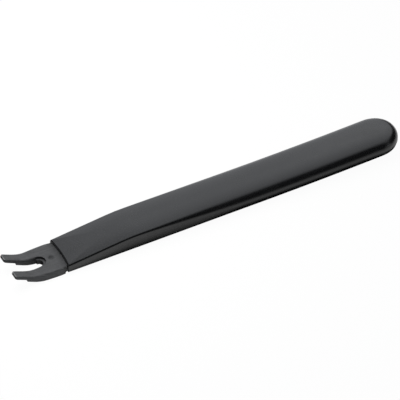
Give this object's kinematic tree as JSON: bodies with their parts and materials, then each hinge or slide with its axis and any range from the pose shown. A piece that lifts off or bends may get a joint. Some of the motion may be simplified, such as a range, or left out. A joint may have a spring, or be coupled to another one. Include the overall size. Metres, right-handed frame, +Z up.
{
  "type": "trim removal tool",
  "caption": "Flat hand pry tool: a forged steel fork with a tapered slot and upturned tines for lifting trim clips, on a straight bar handle with a dipped plastic coat.",
  "frame": {"origin": "on the flat underside that the tool lies on, halfway along its length", "axes": "+X along the handle away from the fork, +Y across the tool, +Z up, the way the tines turn"},
  "size_m": [0.2466, 0.0272, 0.013],
  "materials": {
    "blackened_steel": "matte black oxide over a forged and ground surface",
    "dipped_plastic": "satin black dip coat"
  },
  "bodies": {
    "root": {"fork_bar": "blackened_steel", "grip_sleeve": "dipped_plastic"}
  },
  "joints": []
}
